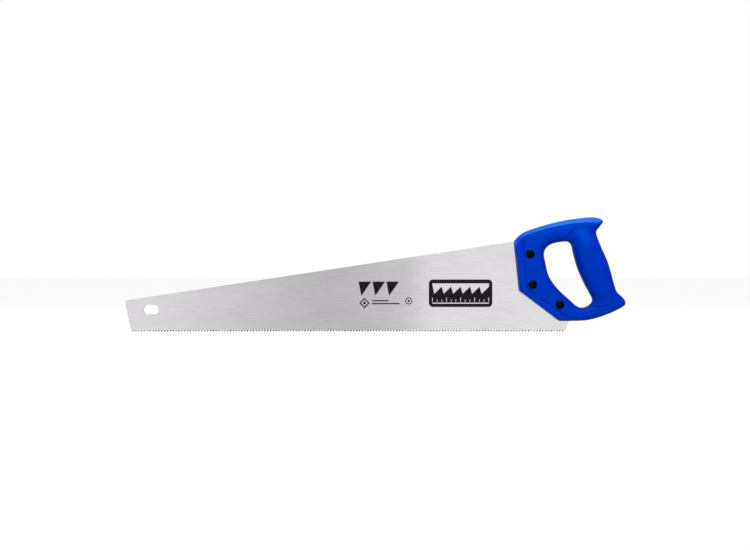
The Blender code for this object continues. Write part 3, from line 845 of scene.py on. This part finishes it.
# The slot, open at the front edges and the underside, and the seats and collars of the three fasteners
GAP = 0.3
HEAD_RADIUS = 5.3
SEAT_DEPTH = 2.0
BARREL_RADIUS = 3.5
COLLAR_WALL = 1.15
COLLAR_RISE = 0.5
COLLAR_ROUND = 0.35
LEAD_IN = 0.3
PAST_SIDE = 30.0
SLOT_FOOT = 30.0
SLOT_END = -90.0
pocket = [(x + 2 * GAP, z + GAP) for x, z in (*TANG, (TANG_TOP_X, back_height(TANG_TOP_X)))]
pocket = [(pocket[0][0] - (pocket[0][1] + SLOT_FOOT) * HEEL_SLOPE, -SLOT_FOOT), *pocket,
          (SLOT_END, back_height(SLOT_END) + GAP), (SLOT_END, -SLOT_FOOT)]
carve(handle, finished("slot_tool", plate(pocket, -BLADE_HALF - GAP, BLADE_HALF + GAP)))


def turned(bm, profile, centre, steps=72):
    """Spin a profile of (radius, y) round a fastener's axis and close its poles."""
    x, z = centre
    verts = [bm.verts.new(place(x + radius, y, z)) for radius, y in profile]
    edges = [bm.edges.new(pair) for pair in zip(verts[:-1], verts[1:])]
    bmesh.ops.spin(bm, geom=verts + edges, axis=(0, 1, 0), cent=place(x, 0, z), angle=math.tau,
                   steps=steps, use_merge=True, use_duplicate=False)
    bmesh.ops.remove_doubles(bm, verts=bm.verts, dist=1e-7)


def fastener_centre(node):
    """The middle of a fastener's head in the drawing."""
    low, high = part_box(node)
    return ((low[0] + high[0]) / 2 - HEEL_X) / MM, ((low[2] + high[2]) / 2 - TIPS_Z) / MM


PLACES = ("upper", "middle", "lower")
centres = {name: fastener_centre(f"{name}_screw") for name in PLACES}
seat = HEAD_RADIUS + GAP
collar = seat + COLLAR_WALL
top = CHEEK + COLLAR_RISE
collar_round = arc((collar - COLLAR_ROUND, top - COLLAR_ROUND), COLLAR_ROUND, 0, 90, 3)
ring_profile = [(collar, 0), *collar_round, (0, top)]
bm = bmesh.new()
for centre in centres.values():
    turned(bm, [(radius, -y) for radius, y in ring_profile][::-1] + ring_profile, centre)
carve(handle, finished("collars", bm), "UNION")
bm = bmesh.new()
floor_y = CHEEK - SEAT_DEPTH
for centre in centres.values():
    half = [(BARREL_RADIUS + GAP, floor_y), (seat, floor_y), (seat, top - LEAD_IN), (seat + LEAD_IN, top),
            (seat + LEAD_IN, PAST_SIDE), (0, PAST_SIDE)]
    turned(bm, [(radius, -y) for radius, y in half][::-1] + half, centre)
carve(handle, finished("bores", bm))

BLUE = (0.0, 0.026, 0.46, 1)
BLUE_DEEP = (0.0, 0.021, 0.40, 1)
# pale blue of rubbed edges and fine scratches, which also serves as a painted highlight along the top ridge
BLUE_WEAR_AND_HIGHLIGHT = (0.002, 0.11, 0.62, 1)
# painted light: a lighter blue for the upward faces of the top edge, between two heights
BLUE_PAINTED_TOP_LIGHT = (0.0, 0.06, 0.44, 1)
TOP_LIGHT_START = 110.0
TOP_LIGHT_FULL = 124.0


def handle_plastic():
    made, tree, shader = new_material("blue polypropylene", Roughness=0.4, IOR=1.49, Specular_IOR_Level=0.25,
                                       Specular_Tint=(0.0, 1.0, 0.9, 1))
    where = add(tree, "TexCoord").outputs["Object"]
    cloud = add(tree, "TexNoise", {"Vector": where, "Scale": 55.0, "Detail": 3.0}).outputs["Fac"]
    grain = add(tree, "TexNoise", {"Vector": where, "Scale": 2600.0,
                                   "Detail": 3.0, "Roughness": 0.6}).outputs["Fac"]
    pits = add(tree, "TexVoronoi", {"Vector": where, "Scale": 1500.0}).outputs["Distance"]
    edge_mask = use_group(tree, sharp_edges, Start=0.56, Full=0.68, Patch_Scale=420.0)["Mask"]
    scratch = use_group(tree, fine_scratches, Along=60.0, Across=240.0, Turn=math.radians(35))["Mask"]
    colour = mixed(tree, remap(tree, cloud, 0.3, 0.7), BLUE_DEEP, BLUE)
    # painted light: the top edge is lighter where it faces up, standing in for the overhead lamp's light on the
    # top band
    upward = add(tree, "SeparateXYZ", {"Vector": add(tree, "NewGeometry").outputs["Normal"]}).outputs["Z"]
    height = add(tree, "SeparateXYZ", {"Vector": where}).outputs["Z"]
    high = remap(tree, height, TIPS_Z + TOP_LIGHT_START * MM, TIPS_Z + TOP_LIGHT_FULL * MM)
    painted_top_light = maths(tree, "MULTIPLY", remap(tree, upward, 0.45, 0.8), high)
    colour = mixed(tree, painted_top_light, colour, BLUE_PAINTED_TOP_LIGHT)
    # painted highlight: the sharp-edge mask lightens the top ridge as the lamp's highlight would, together with
    # real rubbed edges and fine scratches
    wear_and_highlight = maths(tree, "ADD", maths(tree, "MULTIPLY", edge_mask, 0.4), maths(tree, "MULTIPLY", scratch, 0.18))
    tree.links.new(mixed(tree, wear_and_highlight, colour, BLUE_WEAR_AND_HIGHLIGHT), shader.inputs["Base Color"])
    uneven = maths(tree, "ADD", grain, maths(tree, "MULTIPLY", cloud, 0.5))
    rough = remap(tree, uneven, 0.45, 1.05, 0.38, 0.52)
    rough = maths(tree, "SUBTRACT", rough, maths(tree, "MULTIPLY", edge_mask, 0.1))
    tree.links.new(rough, shader.inputs["Roughness"])
    relief = maths(tree, "ADD", grain, maths(tree, "MULTIPLY", pits, 0.7))
    relief = maths(tree, "SUBTRACT", relief, maths(tree, "MULTIPLY", scratch, 0.6))
    bump = add(tree, "Bump", {"Strength": 0.16, "Distance": 0.0002, "Height": relief})
    tree.links.new(bump.outputs["Normal"], shader.inputs["Normal"])
    return made


handle.data.materials.append(handle_plastic())
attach(handle, "root")
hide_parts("handle")

# ---------------------------------------------------------------------------------------------------------
# Fasteners
# Steel screws with a low domed head and a cross recess go through the handle and the blade into sleeve nuts
# with the same head on the far side. All are blackened and oiled.
# ---------------------------------------------------------------------------------------------------------
HEAD_RIM = 1.2
HEAD_DOME = 1.6
DOME_POWER = 0.9
SHANK_RADIUS = 2.0
SHANK_END = 4.0
SHANK_CHAMFER = 0.3
RIM_ROUND = 0.25


def domed_head(seat_y):
    """The outside of a head from its seat to the middle of its dome."""
    base = seat_y + HEAD_RIM
    points = [(HEAD_RADIUS - RIM_ROUND, seat_y), (HEAD_RADIUS, seat_y + RIM_ROUND)]
    for angle in np.radians(np.linspace(0, 90, 15)[:-1]):
        points.append((HEAD_RADIUS * math.cos(angle) ** DOME_POWER, base + HEAD_DOME * math.sin(angle)))
    return [*points, (0.0, base + HEAD_DOME)]


RECESS_LENGTH = 5.2
RECESS_DEPTH = 1.5
RECESS_WIDTH = 1.05


def cross_recess(centre, top_y):
    """The driver's cross, with arms that taper towards its floor."""
    x, z = centre
    bm = bmesh.new()
    for turn in (0, 90):
        made = bmesh.ops.create_cube(bm, size=1)["verts"]
        bmesh.ops.scale(bm, verts=made, vec=(RECESS_LENGTH * MM, 2 * RECESS_DEPTH * MM, RECESS_WIDTH * MM))
        floor = [vert for vert in made if vert.co.y > 0]
        bmesh.ops.scale(bm, verts=floor, vec=(0.45, 1, 0.6))
        bmesh.ops.rotate(bm, verts=made, cent=(0, 0, 0), matrix=Matrix.Rotation(math.radians(turn), 3, "Y"))
        bmesh.ops.translate(bm, verts=made, vec=place(x, -top_y, z))
    return bm


OXIDE_DARK = (0.0006, 0.0006, 0.001, 1)
OXIDE_LIGHT = (0.002, 0.002, 0.0025, 1)
RUBBED_STEEL = (0.16, 0.155, 0.15, 1)


def black_steel():
    made, tree, shader = new_material("blackened steel", Roughness=0.18, Specular_IOR_Level=0.045)
    where = add(tree, "TexCoord").outputs["Object"]
    mottle = add(tree, "TexNoise", {"Vector": where, "Scale": 900.0, "Detail": 5.0}).outputs["Fac"]
    edge_mask = use_group(tree, sharp_edges, Start=0.64, Full=0.8, Patch_Scale=1400.0)["Mask"]
    colour = mixed(tree, remap(tree, mottle, 0.35, 0.65), OXIDE_DARK, OXIDE_LIGHT)
    colour = mixed(tree, maths(tree, "MULTIPLY", edge_mask, 0.35), colour, RUBBED_STEEL)
    tree.links.new(colour, shader.inputs["Base Color"])
    tree.links.new(remap(tree, mottle, 0.3, 0.7, 0.15, 0.24), shader.inputs["Roughness"])
    bump = add(tree, "Bump", {"Strength": 0.1, "Distance": 0.0001, "Height": mottle})
    tree.links.new(bump.outputs["Normal"], shader.inputs["Normal"])
    return made


fastener_black = black_steel()
seat_y = CHEEK - SEAT_DEPTH + GAP
shank_y = CHEEK - SEAT_DEPTH - SHANK_END
for name, centre in centres.items():
    bm = bmesh.new()
    profile = [(0, -shank_y), (SHANK_RADIUS - SHANK_CHAMFER, -shank_y),
               (SHANK_RADIUS, SHANK_CHAMFER - shank_y), (SHANK_RADIUS, seat_y)]
    turned(bm, [(radius, -y) for radius, y in profile + domed_head(seat_y)], centre)
    screw = finished(f"{name}_screw_turned", bm)
    carve(screw, finished("recess", cross_recess(centre, seat_y + HEAD_RIM + HEAD_DOME)))
    bm = bmesh.new()
    bore = SHANK_RADIUS + GAP
    profile = [(0, seat_y - GAP), (bore, seat_y - GAP), (bore, -shank_y),
               (BARREL_RADIUS, -shank_y), (BARREL_RADIUS, seat_y)]
    turned(bm, profile + domed_head(seat_y), centre)
    nut = finished(f"{name}_sleeve_nut_turned", bm)
    for piece, node in ((screw, f"{name}_screw"), (nut, f"{name}_sleeve_nut")):
        piece.data.materials.append(fastener_black)
        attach(piece, "root")
        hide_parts(node)

# ---------------------------------------------------------------------------------------------------------
# Studio
# A pale floor just under the teeth, a white surround with the cards that the steel mirrors, soft lights and
# a camera square to the blade.
# ---------------------------------------------------------------------------------------------------------
middle = [(low + high) / 2 for low, high in zip(*cad_box)]
FLOOR_GLOW = 0.9
FLOOR_GREY = (0.3, 0.3, 0.3, 1)
FLOOR_DROP = 0.5


def mixed_shaders(tree, factor, one, two):
    """A Mix Shader from one shader to the other."""
    node = tree.nodes.new("ShaderNodeMixShader")
    for socket, source in zip(node.inputs, (factor, one, two)):
        tree.links.new(source, socket)
    return node.outputs["Shader"]


def studio_floor():
    """A white sweep that throws little light up and stays out of the steel's reflections."""
    bm = bmesh.new()
    bmesh.ops.create_grid(bm, x_segments=1, y_segments=1, size=30.0)
    bmesh.ops.translate(bm, verts=bm.verts, vec=(middle[0], 0, cad_box[0][2] - FLOOR_DROP * MM))
    ground = finished("floor", bm)
    made, tree, shader = new_material("white floor", Roughness=0.9, Specular_IOR_Level=0.1)
    shader.inputs["Base Color"].default_value = FLOOR_GREY
    ray = add(tree, "LightPath").outputs
    seen = add(tree, "Emission", {"Color": (1, 1, 1, 1), "Strength": FLOOR_GLOW})
    lit = add(tree, "AddShader")
    tree.links.new(shader.outputs["BSDF"], lit.inputs[0])
    tree.links.new(seen.outputs["Emission"], lit.inputs[1])
    plain = mixed_shaders(tree, ray["Is Camera Ray"], shader.outputs["BSDF"], lit.outputs["Shader"])
    clear = add(tree, "BsdfTransparent").outputs["BSDF"]
    final = mixed_shaders(tree, ray["Is Glossy Ray"], plain, clear)
    tree.links.new(final, tree.nodes["Material Output"].inputs["Surface"])
    ground.data.materials.append(made)
    return ground


studio_floor()

AMBIENT = 0.12
# where the steel mirrors the studio: tangent of the angle off straight back, and how bright it is there
CARDS = ((-1.2, 0.1), (-0.6, 0.86), (-0.22, 1.06), (-0.13, 0.86), (-0.045, 0.70), (0.02, 0.76), (0.037, 0.80),
         (0.045, 1.07), (0.16, 1.06), (0.6, 0.86), (1.2, 0.1))
CARD_SPAN = 1.5
CARD_LEAN = 0.14
CARD_GAIN = 2.0


def studio_world():
    """White to the camera, a low even fill for matt surfaces, white cards with a grey gap for the steel."""
    world = bpy.data.worlds.new("studio")
    world.use_nodes = True
    tree = world.node_tree
    background = tree.nodes["Background"]
    toward = add(tree, "SeparateXYZ", {"Vector": add(tree, "TexCoord").outputs["Generated"]}).outputs
    depth = maths(tree, "MAXIMUM", maths(tree, "ABSOLUTE", toward["Y"]), 0.001)
    lean = maths(tree, "MULTIPLY", maths(tree, "DIVIDE", toward["Z"], depth), CARD_LEAN)
    side = maths(tree, "ADD", maths(tree, "DIVIDE", toward["X"], depth), lean)
    ramp = add(tree, "ValToRGB", {"Fac": remap(tree, side, -CARD_SPAN, CARD_SPAN)})
    stops = ramp.color_ramp.elements
    while len(stops) < len(CARDS):
        stops.new(0.5)
    for stop, (at, bright) in zip(stops, CARDS):
        stop.position = (at + CARD_SPAN) / (2 * CARD_SPAN)
    for stop, (at, bright) in zip(stops, CARDS):
        stop.color = (bright / CARD_GAIN, bright / CARD_GAIN, bright / CARD_GAIN, 1)
    ray = add(tree, "LightPath").outputs
    steep = maths(tree, "DIVIDE", maths(tree, "ABSOLUTE", toward["Z"]), depth)
    cards = maths(tree, "MULTIPLY", ramp.outputs["Color"], remap(tree, steep, 0.4, 1.0, CARD_GAIN, 0.7))
    mirrored = maths(tree, "MULTIPLY", maths(tree, "SUBTRACT", cards, AMBIENT), ray["Is Glossy Ray"])
    level = maths(tree, "ADD", mirrored, AMBIENT)
    level = maths(tree, "MAXIMUM", level, ray["Is Camera Ray"])
    tree.links.new(level, background.inputs["Strength"])
    background.inputs["Color"].default_value = (1, 1, 1, 1)
    return world


scene.world = studio_world()


def softbox(name, location, aim, width, height, power, mirrored=True):
    """An area lamp turned to a point, out of the camera's sight."""
    lamp = bpy.data.lights.new(name, "AREA")
    lamp.shape = "RECTANGLE"
    lamp.size = width
    lamp.size_y = height
    lamp.energy = power
    holder = bpy.data.objects.new(name, lamp)
    scene.collection.objects.link(holder)
    holder.location = location
    holder.rotation_euler = (Vector(aim) - Vector(location)).to_track_quat("-Z", "Y").to_euler()
    holder.visible_glossy = mirrored
    holder.visible_camera = False
    return holder


overhead = softbox("overhead softbox", (middle[0] + 0.2, 0.02, 0.62), (middle[0] + 0.2, 0, 0), 0.9, 0.2, 5)
overhead.data.specular_factor = 0.2
softbox("front softbox", (middle[0] + 0.1, -1.7, 0.3), middle, 0.7, 0.7, 15, mirrored=False)
glint = softbox("high card", (middle[0] + 0.25, -0.8, 0.75), middle, 0.5, 0.25, 7)
glint.data.diffuse_factor = 0.0

CAMERA_AWAY = 1.4
VIEW_WIDTH = 0.95025
AXIS_X = HEEL_X - 0.2412
AXIS_Z = TIPS_Z + 0.0722
camera_data = bpy.data.cameras.new("camera")
camera_data.lens = camera_data.sensor_width * CAMERA_AWAY / VIEW_WIDTH
camera_data.clip_start = 0.01
camera = bpy.data.objects.new("camera", camera_data)
scene.collection.objects.link(camera)
camera.location = (AXIS_X, -CAMERA_AWAY, AXIS_Z)
camera.rotation_euler = (math.pi / 2, 0, 0)
scene.camera = camera
